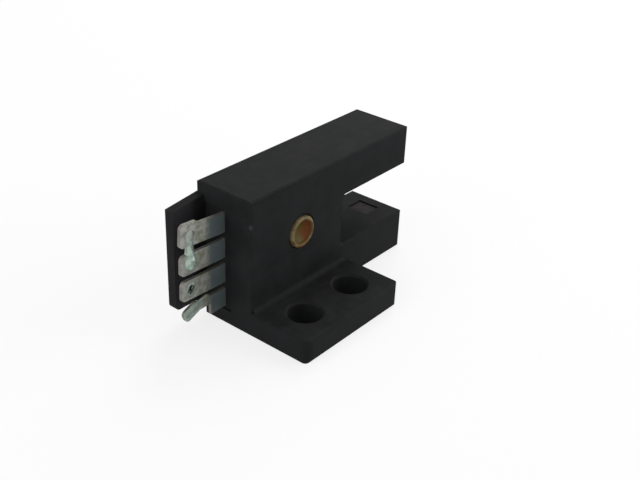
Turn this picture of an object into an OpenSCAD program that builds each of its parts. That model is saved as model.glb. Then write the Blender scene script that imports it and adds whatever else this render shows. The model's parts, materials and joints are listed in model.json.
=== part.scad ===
// Slotted optical sensor in an L-shaped moulded case with a mounting flange.
// An infrared beam crosses the slot between the two arms, and the sensor
// switches when something passes through it.
//
// Every piece is laid out from the same corner of the case:
//   x runs from the terminal end to the arm tips,
//   b is the depth from the back face towards the flange (along -y),
//   z is the height above the mounting face.

/* [Case] */
// Length of the body, from the terminal end to the slot
body_l = 12.6; // [11.6:0.1:15]
// Thickness of the arms, with the back cover
case_t = 6.5; // [5.9:0.1:7.5]
// Wall of the case
wall = 0.8; // [0.7:0.05:0.9]
// Rounding of the corners seen from the side
side_r = 0.4; // [0.2:0.05:0.6]
// Rounding of the upright edges at the arm tips
tip_r = 0.6; // [0.3:0.05:0.75]
// Rounding of the edges at the terminal end and at the ends of the flange
heel_r = 0.2; // [0.1:0.05:0.3]
// Rounding of the long edges
edge_r = 0.3; // [0.15:0.05:0.4]
// Chamfer along the edges of the slot and the holes
edge_c = 0.2; // [0.1:0.05:0.3]

/* [Slot and beam] */
// Width of the slot between the arms
slot_w = 5.25; // [5:0.05:6.5]
// Depth of the slot from the arm tips
slot_depth = 10; // [8:0.1:12]
// Height of the lower arm, from the mounting face to the slot
lower_arm_h = 4.15; // [3.9:0.05:5]
// Height of the upper arm, from the slot to the top
upper_arm_h = 4; // [3.6:0.1:5]
// Distance of the beam from the arm tips
beam_inset = 2.4; // [2.3:0.05:3]
// Length of each beam window along the arm
beam_window_l = 2; // [1.6:0.1:2.2]
// Depth of each beam window across the arm
beam_window_d = 2.4; // [1.8:0.1:2.6]
// Height of the neck that fills the aperture
beam_neck_h = 0.4; // [0.3:0.05:0.5]
// Width of the shoulder round the neck
beam_shoulder = 0.35; // [0.2:0.05:0.4]
// Recess of the beam windows below the face of the slot
beam_recess = 0.12; // [0.05:0.01:0.2]

/* [Mounting flange] */
// Length of the flange along the case
flange_l = 13.4; // [12:0.1:14]
// Reach of the flange past the front face
flange_reach = 6.5; // [6.2:0.1:8]
// Thickness of the flange
flange_t = 2.4; // [2:0.1:3.4]
// Rounding of the free corners of the flange
flange_r = 0.9; // [0.5:0.1:1.2]
// Fillet between the flange and the front face
fillet_r = 0.5; // [0.3:0.1:0.8]
// Diameter of the two mounting holes
hole_d = 3.2; // [2.8:0.1:3.4]
// Distance between the mounting holes
hole_pitch = 6.4; // [5.6:0.1:7]

/* [Back cover and terminal guard] */
// Thickness of the back cover
cover_t = 0.9; // [0.8:0.05:1]
// Reach of the guard past the terminal end
guard_reach = 3.7; // [3:0.05:4.5]
// Height of the guard's lower edge
guard_z = 1.95; // [1.5:0.05:2.4]
// Drop from the top of the case to the guard
guard_drop = 1.1; // [0.8:0.1:1.5]
// Fall of the guard's upper edge towards its free end
guard_fall = 0.4; // [0:0.05:0.6]
// Rounding of the guard's lower free corner
guard_r = 0.5; // [0.3:0.1:1.2]
// Length of the notch under the cover's lower corner
notch_l = 1.2; // [0.8:0.1:2]
// Depth of the lip that sits inside the case
lip_h = 0.5; // [0.3:0.05:0.7]
// Thickness of the lip
lip_t = 0.4; // [0.3:0.05:0.5]
// Diameter of the posts that press on the board
post_d = 1.1; // [0.8:0.1:1.3]
// Distance of the posts from the top and bottom of the hollow
post_inset = 2.2; // [2:0.1:2.4]

/* [Terminals] */
// Distance between the centres of the terminals
term_pitch = 2.54; // [2.4:0.01:2.6]
// Width of a terminal
term_w = 1.95; // [1.7:0.05:2]
// Thickness of a terminal
term_t = 0.3; // [0.25:0.05:0.4]
// Reach of the terminals past the case
term_reach = 5.1; // [5:0.1:6]
// Rounding of the terminal tips
term_r = 0.45; // [0.2:0.05:0.6]
// Diameter of the solder holes
term_hole_d = 1; // [0.7:0.1:1.1]
// Distance of the solder holes from the tips
term_hole_inset = 1.15; // [0.9:0.05:1.4]
// Drop of the terminal row below mid height
term_drop = 0.13; // [0:0.01:0.2]
// Distance past the case at which the free ends start to lean
lean_start = 0.4; // [0.3:0.1:1]
// Upward lean of the free ends, in degrees
term_lean = 2.5; // [0:0.5:3]
// Extra lean of the top terminal, in degrees
top_lean = 2.5; // [0:0.5:3]
// Length of the broader end of the top terminal
broad_l = 2.1; // [1.6:0.1:2.5]
// Extra width of that end, on its upper edge
broad_w = 0.25; // [0.1:0.05:0.4]
// Width of the tails that are soldered to the board
tail_w = 1; // [0.7:0.1:1.2]
// Length of the tails on the board
tail_l = 1.8; // [1.4:0.1:2.2]

/* [Worn bottom terminal] */
// Reach of the worn terminal past the case
worn_reach = 4.85; // [4.7:0.05:5]
// Length of its sound root past the case
worn_root = 1.7; // [1.4:0.1:2]
// Width of its neck
worn_neck_w = 0.85; // [0.6:0.05:1]
// Length of its drooping end
worn_l = 1.95; // [1.8:0.05:2.2]
// Width of its drooping end
worn_w = 1.2; // [1:0.05:1.4]
// Droop of the end, in degrees
worn_droop = 23; // [10:1:30]

/* [Solder] */
// Radius of the solder that links the two upper terminals
link_r = 0.42; // [0.3:0.02:0.48]
// Margin of the solder round the hole of the second terminal
blob_margin = 0.12; // [0.05:0.01:0.2]

/* [Indicator window] */
// Distance of the window from the terminal end
window_x = 6.65; // [6.3:0.05:7.5]
// Height of the window's centre above mid height
window_rise = 1.35; // [0.3:0.05:1.6]
// Diameter of the window
window_d = 3.1; // [2.8:0.1:3.6]
// Width of the rounded rim
rim_w = 0.42; // [0.3:0.02:0.5]
// Depth of the dish inside the rim
dish_depth = 0.45; // [0.3:0.05:0.6]
// Width of the shoulder inside the wall
window_shoulder = 0.35; // [0.2:0.05:0.5]
// Thickness of the shoulder
shoulder_t = 0.3; // [0.2:0.05:0.35]

/* [Circuit board] */
// Thickness of the board
board_t = 0.8; // [0.6:0.1:0.9]
// Ledge that carries the board's edge
ledge_w = 0.6; // [0.4:0.05:0.8]
// Clearance round the board and the lip
fit_gap = 0.1; // [0.05:0.01:0.15]
// Diameter of the plated holes at the tails
via_d = 0.6; // [0.4:0.1:0.8]

/* [Emitter and receiver] */
// Length of each package along the arm
opto_l = 3; // [2.6:0.1:3.2]
// Distance between a package and the wall of the slot
opto_gap = 0.35; // [0.31:0.01:0.4]
// Clearance between a package and the outer wall of its arm
opto_clear = 0.35; // [0.1:0.05:0.5]
// Radius of the lens on each package
lens_r = 1; // [0.8:0.05:1.2]
// Height of the lens
lens_h = 0.3; // [0.2:0.05:0.3]
// Thickness of the lead frames
lead_t = 0.25; // [0.15:0.05:0.3]
// Width of a lead
lead_w = 0.4; // [0.3:0.05:0.5]
// Distance between a lead and the edge of its package
lead_edge = 0.1; // [0.05:0.01:0.2]
// Depth of the leads inside the package
lead_sink = 0.6; // [0.4:0.1:0.8]
// Length of the leads on the board
lead_lap = 1.3; // [1:0.1:1.4]

/* [Amplifier] */
// Width of the amplifier between its rows of leads
ic_w = 2.6; // [2.2:0.1:2.8]
// Height of the amplifier along its rows of leads
ic_h = 3.2; // [3:0.1:3.4]
// Thickness of the amplifier
ic_t = 1.1; // [0.9:0.1:1.2]
// Distance between the amplifier and the board
ic_stand = 0.1; // [0.05:0.01:0.2]
// Distance between the tails and the leads of the amplifier
ic_gap = 1.05; // [0.3:0.05:1.3]
// Distance between the leads of a row
ic_pitch = 0.8; // [0.7:0.05:0.8]
// Reach of a lead past the body
ic_reach = 0.65; // [0.5:0.05:0.8]
// Width of a lead
ic_lead_w = 0.3; // [0.25:0.01:0.35]
// Thickness of a lead
ic_lead_t = 0.14; // [0.1:0.01:0.2]

/* [Chip parts] */
// Length of a chip resistor
chip_l = 1.6; // [1.2:0.1:1.8]
// Width of a chip resistor
chip_w = 0.8; // [0.6:0.1:1]
// Thickness of a chip resistor
chip_t = 0.45; // [0.3:0.05:0.5]
// Thickness of the chip capacitor
capacitor_t = 0.8; // [0.5:0.1:0.9]
// Length of the metal ends
cap_l = 0.3; // [0.2:0.05:0.4]
// Distance between neighbouring chips
chip_pitch = 1.5; // [1.3:0.1:1.6]
// Distance between the chips and the ledge by the slot
chip_inset = 0.5; // [0.3:0.1:1]

/* [Transistor, diode and lamp] */
// Distance of the transistor and the diode from the ledge by the terminals
part_inset = 2; // [1.8:0.1:2.2]
// Length of the transistor
transistor_l = 2.4; // [2:0.1:2.6]
// Height of the transistor
transistor_h = 1.3; // [1.1:0.1:1.5]
// Thickness of the transistor
transistor_t = 0.9; // [0.7:0.05:1]
// Length of the diode
diode_l = 1.7; // [1.4:0.1:2]
// Height of the diode
diode_h = 1.2; // [0.9:0.1:1.4]
// Thickness of the diode
diode_t = 0.9; // [0.7:0.05:1]
// Length of a foot
foot_l = 0.5; // [0.4:0.05:0.6]
// Width of a foot
foot_w = 0.4; // [0.3:0.05:0.5]
// Thickness of a foot
foot_t = 0.16; // [0.1:0.02:0.2]
// Length of the lamp's base
led_l = 1.6; // [1.4:0.1:1.8]
// Width of the lamp's base
led_w = 0.8; // [0.7:0.1:1]
// Thickness of the lamp's base
led_t = 0.25; // [0.2:0.05:0.3]
// Diameter of the lamp's dome
led_dome_d = 0.7; // [0.5:0.05:0.8]
// Height of the dome
led_dome_h = 0.25; // [0.15:0.05:0.3]

/* [Hidden] */
$fn = 48;
// Overshoot of a cut past the face it opens
cut = 0.5;
// Overlap of shapes that join, and overshoot of a chamfer
over = 0.1;

// Overall length and height of the case
case_l = body_l + slot_depth;
case_h = lower_arm_h + slot_w + upper_arm_h;
mid_z = case_h / 2;

// Slot and beam
slot_x = body_l;
slot_z0 = lower_arm_h;
slot_z1 = lower_arm_h + slot_w;
beam_x = case_l - beam_inset;
mid_b = case_t / 2;

// Depths of the pieces inside the case, from the back face
inner_b = case_t - wall;
lip_b = cover_t + lip_h;
board_b0 = mid_b;
board_b1 = board_b0 + board_t;
pocket_x1 = slot_x - wall;
pocket_z1 = case_h - wall;

// Centre of the indicator window
window_z = mid_z + window_rise;

// Terminal row and its base
row_z = mid_z - term_drop;
base_recess = 0.15;
base_rim = 0.3;
base_l = 2.4;
base_h = 3 * term_pitch + term_w + 2 * base_rim;
tail_x = base_l + tail_l;

// Height of terminal n, its lean and the place of its solder hole, from the top
function term_z(n) = row_z + (2.5 - n) * term_pitch;
function lean_of(n) = term_lean + (n == 1 ? top_lean : 0);
function hole_at(n) = let (d = term_reach - term_hole_inset - lean_start)
    [-lean_start - d * cos(lean_of(n)), term_z(n) + d * sin(lean_of(n))];

// Mounting flange, whose holes lie midway along it and across its free part
flange_b = case_t + flange_reach;
hole_x = flange_l / 2;
hole_b = case_t + flange_reach / 2;

// The origin lies under the middle of the whole part, on the mounting face
mid_x = (case_l - term_reach) / 2;
mid_y = flange_b / 2;

// Moves a piece from the layout corner to the part's own origin
module placed() translate([-mid_x, mid_y, 0]) children();

// Prism with a side outline, from depth b0 to depth b1
module side_prism(b0, b1)
    translate([0, -b0, 0]) rotate([90, 0, 0]) linear_extrude(b1 - b0) children();

// Box with its low corner at x, b, z and a size along each of them
module block(x, b, z, size) translate([x, -b - size[1], z]) cube(size);

// Box centred on x, b, z
module centred_block(x, b, z, size)
    block(x - size[0] / 2, b - size[1] / 2, z - size[2] / 2, size);

// Rectangle between two corners, with rounded corners
module rounded_rect(x0, y0, x1, y1, r) {
    translate([x0 + r, y0]) square([x1 - x0 - 2 * r, y1 - y0]);
    translate([x0, y0 + r]) square([x1 - x0, y1 - y0 - 2 * r]);
    for (x = [x0 + r, x1 - r], y = [y0 + r, y1 - r]) translate([x, y]) circle(r);
}

// What a rounding of radius r takes off a corner whose arc is centred here
module corner_waste(r) difference() {
    square(r + cut);
    circle(r);
}

// Side outline of the case: a block with the slot cut into its far end
module fork_outline() difference() {
    square([case_l, case_h]);
    translate([heel_r, case_h - heel_r]) rotate(90) corner_waste(heel_r);
    translate([heel_r, heel_r]) rotate(180) corner_waste(heel_r);
    rounded_rect(slot_x, slot_z0, case_l + slot_w, slot_z1, side_r);
    for (z = [slot_z0, case_h])
        translate([case_l - side_r, z - side_r]) corner_waste(side_r);
    for (z = [0, slot_z1])
        translate([case_l - side_r, z + side_r]) rotate(-90) corner_waste(side_r);
}

// Envelope that rounds the upright and the long edges of the body
module body_envelope() intersection() {
    translate([0, -case_t, 0]) linear_extrude(case_h) {
        rounded_rect(0, 0, slot_x, case_t, heel_r);
        rounded_rect(slot_x / 2, 0, case_l, case_t, tip_r);
    }
    rotate([90, 0, 90]) linear_extrude(case_l)
        rounded_rect(-case_t, 0, 0, case_h, edge_r);
}

// Section of a chamfer: x goes from the wall into the material, y out of the face
module chamfer_section()
    polygon([[-over, -edge_c - over], [edge_c + over, over], [-over, over]]);

// Chamfer round the slot, on a face that lies in the local x-y plane
module slot_chamfer() translate([slot_x, (slot_z0 + slot_z1) / 2, 0])
    for (m = [0, 1]) mirror([0, m, 0]) {
        side = slot_w / 2;
        rotate([90, 0, 180]) linear_extrude(side - side_r) chamfer_section();
        translate([side_r, side - side_r, 0]) rotate(90) rotate_extrude(angle = 90)
            translate([side_r, 0]) chamfer_section();
        translate([side_r, side, 0]) rotate([90, 0, 90])
            linear_extrude(slot_depth - side_r + cut) chamfer_section();
    }

// Round hole along the local z, with a chamfered mouth at the height h
module chamfered_hole(d, low, h) {
    translate([0, 0, low - cut]) cylinder(d = d, h = h - low + 2 * cut);
    translate([0, 0, h - edge_c])
        cylinder(r1 = d / 2, r2 = d / 2 + edge_c + cut, h = edge_c + cut);
}

// Mounting flange with rounded free corners and edges, and its fillet
module flange() {
    intersection() {
        translate([0, -flange_b, 0]) linear_extrude(flange_t)
            rounded_rect(0, 0, flange_l, flange_b - inner_b + 2 * flange_r, flange_r);
        rotate([90, 0, 90]) linear_extrude(flange_l)
            rounded_rect(-flange_b, 0, 2 * edge_r - inner_b, flange_t, edge_r);
        side_prism(inner_b, flange_b + cut) rounded_rect(0, 0, flange_l, flange_t, heel_r);
    }
    fillet_x = heel_r + over;
    translate([fillet_x, -case_t, flange_t]) rotate([90, 0, 90])
        linear_extrude(flange_l - 2 * fillet_x) difference() {
            translate([-fillet_r, -over]) square(fillet_r + over);
            translate([-fillet_r, fillet_r]) circle(fillet_r);
        }
}

// Hollow of the body and of both arms, open at the back
module pockets() {
    mouth = cover_t - cut;
    seat = board_b1 - mouth;
    full = inner_b - mouth;
    block(wall, mouth, wall, [pocket_x1 - wall, seat, pocket_z1 - wall]);
    block(wall + ledge_w, mouth, wall + ledge_w,
          [pocket_x1 - wall - 2 * ledge_w, full, pocket_z1 - wall - 2 * ledge_w]);
    arm_x = pocket_x1 - ledge_w;
    arm_l = case_l - wall - arm_x;
    block(arm_x, mouth, wall, [arm_l, full, lower_arm_h - 2 * wall]);
    block(arm_x, mouth, slot_z1 + wall, [arm_l, full, upper_arm_h - 2 * wall]);
}

// Opening in the terminal end from x and from the depth b, which the base fills
module end_opening(x, b)
    block(x, b, row_z - base_h / 2, [base_l - x, board_b1 - b, base_h]);

// Beam window above the slot: a neck in the aperture and a broader foot
module beam_window_shape(recess, top)
    translate([0, 0, slot_z1]) {
        centred_block(beam_x, mid_b, (recess + top) / 2,
                      [beam_window_l, beam_window_d, top - recess]);
        centred_block(beam_x, mid_b, (beam_neck_h + top) / 2,
                      [beam_window_l + 2 * beam_shoulder,
                       beam_window_d + 2 * beam_shoulder, top - beam_neck_h]);
    }

// Mirror image across the middle of the slot, for what the lower arm repeats
module in_lower_arm()
    translate([0, 0, slot_z0 + slot_z1]) mirror([0, 0, 1]) children();

module case() placed() color("#1b1c1e") difference() {
    union() {
        intersection() {
            side_prism(cover_t, case_t) fork_outline();
            body_envelope();
        }
        flange();
    }
    pockets();
    end_opening(-cut, cover_t - cut);
    translate([0, -case_t, 0]) rotate([90, 0, 0]) slot_chamfer();
    beam_window_shape(-cut, wall + cut);
    in_lower_arm() beam_window_shape(-cut, wall + cut);
    translate([window_x, 0, window_z]) rotate([90, 0, 0])
        chamfered_hole(window_d, inner_b, case_t);
    for (s = [-1, 1]) translate([hole_x + s * hole_pitch / 2, -hole_b, 0])
        chamfered_hole(hole_d, 0, flange_t);
}

// Side outline of the guard, which leaves the cover past the terminal end
module guard_outline() {
    top = case_h - guard_drop;
    difference() {
        polygon([[notch_l, guard_z], [-guard_reach, guard_z],
                 [-guard_reach, top - guard_fall], [0, top], [notch_l, top]]);
        translate([guard_r - guard_reach, guard_z + guard_r])
            rotate(180) corner_waste(guard_r);
    }
}

// Outline of the hollow past the terminal base, drawn in by a margin
module hollow_outline(margin) difference() {
    translate([base_l + margin, wall + margin])
        square([case_l - wall - base_l - 2 * margin, case_h - 2 * wall - 2 * margin]);
    translate([pocket_x1 - margin, slot_z0 - wall - margin])
        square([slot_depth + wall, slot_w + 2 * wall + 2 * margin]);
}

// Lip that locates the cover in the hollow of the case
module lip() difference() {
    side_prism(cover_t, lip_b) hollow_outline(fit_gap);
    side_prism(cover_t - cut, lip_b + cut) hollow_outline(fit_gap + lip_t);
}

module back_cover() placed() color("#1d1e20") {
    difference() {
        union() {
            intersection() {
                side_prism(0, cover_t) fork_outline();
                body_envelope();
            }
            side_prism(0, cover_t) guard_outline();
        }
        block(-cut, -cut, -cut, [notch_l + cut, cover_t + 2 * cut, guard_z + cut]);
        rotate([90, 0, 0]) mirror([0, 0, 1]) slot_chamfer();
    }
    lip();
    for (z = [wall + post_inset, pocket_z1 - post_inset])
        translate([(base_l + pocket_x1) / 2, 0, z]) rotate([90, 0, 0])
            translate([0, 0, cover_t]) cylinder(d = post_d, h = board_b0 - cover_t);
}

// Straight root of terminal n past the case, and its tail on the board
module root_outline(n, reach) {
    translate([-reach, term_z(n) - term_w / 2]) square([base_l + reach, term_w]);
    translate([0, term_z(n) - tail_w / 2]) square([tail_x, tail_w]);
}

// Side outline of a sound terminal, with its leaning end and solder hole
module blade_outline(n) difference() {
    union() {
        root_outline(n, lean_start);
        translate([-lean_start, term_z(n)]) rotate(-lean_of(n)) {
            tip = lean_start - term_reach;
            rounded_rect(tip, -term_w / 2, term_r, term_w / 2, term_r);
            if (n == 1)
                rounded_rect(tip, -term_w / 2, tip + broad_l, term_w / 2 + broad_w, term_r);
        }
    }
    translate(hole_at(n)) circle(d = term_hole_d);
}

// Side outline of the worn bottom terminal: a narrow neck and a drooping end
module worn_outline() {
    top = term_z(4) + term_w / 2;
    end_x = worn_l * cos(worn_droop) / 2 - worn_reach;
    root_outline(4, worn_root);
    translate([end_x, top - worn_neck_w]) square([-end_x, worn_neck_w]);
    translate([end_x, top - worn_w / 2]) rotate(worn_droop)
        rounded_rect(-worn_l / 2, -worn_w / 2, worn_l / 2, worn_w / 2, term_r);
}

module blade(n) placed() color("#b9bab4")
    side_prism(board_b0 - term_t, board_b0) {
        if (n < 4) blade_outline(n);
        else worn_outline();
    }

module terminal_1() blade(1);
module terminal_2() blade(2);
module terminal_3() blade(3);
module terminal_4() blade(4);

module terminal_base() placed() color("#202124") difference() {
    union() {
        end_opening(base_recess, cover_t);
        block(wall, lip_b, wall + fit_gap,
              [base_l - wall, board_b1 - lip_b, case_h - 2 * wall - 2 * fit_gap]);
    }
    for (n = [1:4])
        block(-cut, board_b0 - term_t, term_z(n) - term_w / 2,
              [base_l + 2 * cut, term_t, term_w]);
}

// Solder that links the holes of the two upper terminals, thinner at the first
module solder_bridge() placed() color("#cfd2cf") difference() {
    from = hole_at(2);
    to = hole_at(1);
    blob_r = term_hole_d / 2 + blob_margin;
    translate([from[0], term_t / 2 - board_b0, from[1]])
        rotate([0, atan2(to[0] - from[0], to[1] - from[1]), 0]) {
            cylinder(r = link_r, h = norm(to - from));
            sphere(blob_r);
            translate([0, 0, norm(to - from)]) sphere(blob_r - blob_margin / 2);
        }
    for (n = [1, 2]) side_prism(board_b0 - term_t, board_b0) blade_outline(n);
}

// Turned window: a dished face inside a rounded rim, and a shoulder inside the wall
module indicator_window() placed() color("#b07a2c")
    translate([window_x, 0, window_z]) rotate([90, 0, 0]) rotate_extrude() {
        r = window_d / 2;
        mouth = r - rim_w;
        dish = (mouth * mouth + dish_depth * dish_depth) / (2 * dish_depth);
        difference() {
            translate([0, inner_b - shoulder_t]) square([r, wall + shoulder_t]);
            translate([0, case_t - dish_depth + dish]) intersection() {
                circle(dish);
                translate([0, -dish]) square([dish, 2 * dish]);
            }
        }
        translate([r - rim_w / 2, case_t]) circle(rim_w / 2);
        translate([0, inner_b - shoulder_t]) square([r + window_shoulder, shoulder_t]);
    }

// Lamp on the board behind the window: a base with a small dome
module indicator_led() placed() color("#e0d8b0") {
    centred_block(window_x, board_b1 + led_t / 2, window_z, [led_l, led_t, led_w]);
    translate([window_x, -board_b1, window_z]) rotate([90, 0, 0])
        cylinder(d1 = led_dome_d, d2 = led_dome_d * 0.8, h = led_t + led_dome_h);
}

module circuit_board() placed() color("#2f6b3c") difference() {
    block(base_l + fit_gap, board_b0, wall + fit_gap,
          [pocket_x1 - base_l - 2 * fit_gap, board_t, case_h - 2 * wall - 2 * fit_gap]);
    for (n = [1:4]) translate([tail_x - tail_w / 2, 0, term_z(n)]) rotate([90, 0, 0])
        translate([0, 0, board_b0 - cut]) cylinder(d = via_d, h = board_t + 2 * cut);
}

// Emitter in the upper arm, whose lens faces the slot; its depth clears the lip
opto_z = slot_z1 + wall + opto_gap;
opto_h = min(lower_arm_h, upper_arm_h) - 2 * wall - opto_gap - opto_clear;
opto_depth = 2 * (mid_b - lip_b - fit_gap);
lead_end = pocket_x1 - fit_gap - lead_lap;

module opto_leads() for (s = [-1, 1])
    block(lead_end, board_b0 - lead_t,
          opto_z + (opto_h - lead_w) / 2 + s * ((opto_h - lead_w) / 2 - lead_edge),
          [beam_x - opto_l / 2 + lead_sink - lead_end, lead_t, lead_w]);

module opto_package() difference() {
    union() {
        centred_block(beam_x, mid_b, opto_z + opto_h / 2, [opto_l, opto_depth, opto_h]);
        intersection() {
            ball = (lens_r * lens_r + lens_h * lens_h) / (2 * lens_h);
            translate([beam_x, -mid_b, opto_z - lens_h + ball]) sphere(ball);
            translate([beam_x, -mid_b, opto_z - lens_h]) cylinder(r = 1.2 * lens_r, h = lens_h);
        }
    }
    opto_leads();
}

module emitter() placed() color("#7a8fa8") opto_package();
module emitter_leads() placed() color("#c0c2c4") opto_leads();
module receiver() placed() color("#26262a") in_lower_arm() opto_package();
module receiver_leads() placed() color("#c0c2c4") in_lower_arm() opto_leads();

module emitter_window() placed() color("#241318")
    beam_window_shape(beam_recess, wall - fit_gap);
module receiver_window() placed() color("#241318")
    in_lower_arm() beam_window_shape(beam_recess, wall - fit_gap);

// Amplifier on the back of the board, past the tails
ic_x = tail_x + ic_gap + ic_reach + ic_w / 2;
ic_b = board_b0 - ic_stand - ic_t / 2;

// Leads that leave the body at half its thickness, drop and run out on the board
module ic_leads() for (s = [-1, 1], n = [-1.5:1.5])
    translate([ic_x, 0, mid_z + n * ic_pitch]) mirror([s < 0 ? 1 : 0, 0, 0]) {
        knee_x = ic_w / 2 + ic_reach / 3;
        block(ic_w / 2 - ic_lead_t, ic_b - ic_lead_t / 2, -ic_lead_w / 2,
              [knee_x + 2 * ic_lead_t - ic_w / 2, ic_lead_t, ic_lead_w]);
        block(knee_x, ic_b - ic_lead_t / 2, -ic_lead_w / 2,
              [ic_lead_t, board_b0 - ic_b + ic_lead_t / 2, ic_lead_w]);
        block(knee_x, board_b0 - ic_lead_t, -ic_lead_w / 2,
              [ic_w / 2 + ic_reach - knee_x, ic_lead_t, ic_lead_w]);
    }
module amplifier_ic() placed() color("#232427") difference() {
    centred_block(ic_x, ic_b, mid_z, [ic_w, ic_t, ic_h]);
    ic_leads();
}
module amplifier_leads() placed() color("#c4c6c8") ic_leads();

// Moulded part on the front of the board, with its feet at offsets in x and z
module footed_part(x, z, size, foot, feet) placed() {
    centred_block(x, board_b1 + size[1] / 2, z, size);
    for (f = feet) centred_block(x + f[0], board_b1 + foot[1] / 2, z + f[1], foot);
}

part_x = base_l + ledge_w + part_inset;

module output_transistor() color("#26272a") {
    out = transistor_h / 2 + foot_l / 2 - over;
    side = transistor_l / 2 - foot_w;
    footed_part(part_x, wall + ledge_w + transistor_h / 2 + 2 * foot_l,
                [transistor_l, transistor_t, transistor_h], [foot_w, foot_t, foot_l],
                [[-side, -out], [side, -out], [0, out]]);
}

module protection_diode() color("#2b2b2e") {
    out = diode_l / 2 + foot_l / 2 - over;
    footed_part(part_x, pocket_z1 - ledge_w - diode_h,
                [diode_l, diode_t, diode_h], [foot_l, foot_t, foot_w], [[-out, 0], [out, 0]]);
}

// Chip with raised metal ends, n steps above the middle of the column by the slot
chip_x = pocket_x1 - ledge_w - chip_l / 2 - chip_inset;
cap_rise = 0.02;
module chip(n, thickness) placed() {
    z = mid_z + n * chip_pitch;
    b = board_b1 + thickness / 2;
    color("#2a2b2e") centred_block(chip_x, b, z, [chip_l - 2 * cap_rise, thickness - 2 * cap_rise,
                                                  chip_w - 2 * cap_rise]);
    color("#c8c8c8") for (s = [-1, 1])
        centred_block(chip_x + s * (chip_l - cap_l) / 2, b, z, [cap_l, thickness, chip_w]);
}
module resistor_1() chip(2.5, chip_t);
module capacitor() chip(1.5, capacitor_t);
module resistor_2() chip(-1.5, chip_t);
module resistor_3() chip(-2.5, chip_t);

case();
back_cover();
terminal_base();
terminal_1();
terminal_2();
terminal_3();
terminal_4();
solder_bridge();
indicator_window();
indicator_led();
circuit_board();
emitter();
emitter_leads();
emitter_window();
receiver();
receiver_leads();
receiver_window();
amplifier_ic();
amplifier_leads();
output_transistor();
protection_diode();
resistor_1();
resistor_2();
resistor_3();
capacitor();
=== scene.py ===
import json
import math

import bmesh
import bpy
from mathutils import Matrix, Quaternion, Vector


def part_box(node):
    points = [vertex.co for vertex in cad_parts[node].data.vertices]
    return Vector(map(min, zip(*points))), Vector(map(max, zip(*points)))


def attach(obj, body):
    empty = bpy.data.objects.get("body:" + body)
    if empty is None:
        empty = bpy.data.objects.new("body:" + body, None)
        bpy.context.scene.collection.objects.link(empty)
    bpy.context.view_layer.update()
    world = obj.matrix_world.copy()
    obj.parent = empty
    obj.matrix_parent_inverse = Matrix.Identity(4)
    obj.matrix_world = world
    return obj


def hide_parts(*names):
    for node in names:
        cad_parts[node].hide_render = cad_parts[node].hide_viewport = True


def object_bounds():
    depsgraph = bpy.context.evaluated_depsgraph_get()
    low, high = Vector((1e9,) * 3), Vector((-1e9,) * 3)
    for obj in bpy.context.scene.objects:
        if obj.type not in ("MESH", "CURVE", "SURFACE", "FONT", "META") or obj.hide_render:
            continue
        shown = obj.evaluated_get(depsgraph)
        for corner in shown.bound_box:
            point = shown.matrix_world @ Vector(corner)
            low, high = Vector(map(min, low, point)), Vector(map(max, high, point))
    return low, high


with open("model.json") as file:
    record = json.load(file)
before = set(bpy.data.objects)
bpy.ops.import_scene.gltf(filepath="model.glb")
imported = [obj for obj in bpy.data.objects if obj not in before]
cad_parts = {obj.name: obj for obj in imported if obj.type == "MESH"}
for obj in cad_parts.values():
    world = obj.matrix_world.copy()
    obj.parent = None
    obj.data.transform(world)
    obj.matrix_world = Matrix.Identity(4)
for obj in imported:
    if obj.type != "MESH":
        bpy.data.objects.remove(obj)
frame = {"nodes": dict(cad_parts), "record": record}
cad_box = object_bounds()

MM = 0.001
BODY = "root"
MOULDED_NODES = ("case", "back_cover", "terminal_base")
TERMINALS = ("terminal_1", "terminal_2", "terminal_3", "terminal_4")

# Camera: its place, the direction it looks in, its roll in degrees, its lens and its nearest view
CAMERA_PLACE = Vector((-62.88, -50.73, 52.47)) * MM
CAMERA_LOOK = Vector((0.6781, 0.5423, -0.4961))
CAMERA_ROLL = 2.33
CAMERA_LENS = 56.88
CAMERA_NEAR = 5 * MM

# Lamps: the place, the side and the power of each soft box
LAMPS = {
    "Key": (Vector((0.155, 0.06, 0.185)), 0.16, 0.28),
    "Fill": (Vector((0.20, -0.18, 0.10)), 0.20, 0.46),
    "Side": (Vector((-0.24, 0.02, 0.08)), 0.20, 0.30),
}

# Strength of the backdrop for the rays that see it, and of the light it gives off
WHITE = 1.0
AMBIENT = 0.50

# Floor: its lit share close to the sensor, where that starts to fall and where it ends, its
# colour, its gap below the sensor and half its side
FLOOR_SHARE = 0.22
FLOOR_NEAR = 30 * MM
FLOOR_FAR = 160 * MM
FLOOR_COLOR = (0.88, 0.88, 0.88, 1)
FLOOR_GAP = 0.02 * MM
FLOOR_HALF = 1.5

# Copies of the CAD solids: corners this close merge, and triangles within this angle make one face
MERGE_DISTANCE = 0.001 * MM
FLAT_ANGLE = math.radians(0.4)

# Softened edges: their width on the moulded and on the punched pieces, their steps, the least
# turn that is softened, and the shortest edge, in widths
MOULDED_EDGE = 0.05 * MM
PUNCHED_EDGE = 0.045 * MM
EDGE_STEPS = 2
SHARP_ANGLE = math.radians(28)
SHORTEST_EDGE = 1.5
# Edges up to this length are closed up after the softening
MOULDED_SLIVER = 0.001 * MM
PUNCHED_SLIVER = 0.0001 * MM
# A face is shaded flat where every side is longer than this, or where it meets a neighbour at
# less than this angle
BROAD_SIDE = 0.2 * MM
LEVEL_ANGLE = math.radians(0.5)
# Edges that turn by more than this stay crisp in the shading
CRISP_ANGLE = math.radians(38)
WINDOW_CRISP_ANGLE = math.radians(50)

# Indicator window: its rim, its dish, the shoulder behind the wall, and the steps of its curves
RIM_WIDTH = 0.42 * MM
DISH_DEPTH = 0.45 * MM
SHOULDER_WIDTH = 0.35 * MM
SHOULDER_DEPTH = 0.3 * MM
WINDOW_STEPS = 96
RIM_STEPS = 14
DISH_STEPS = 16
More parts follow.
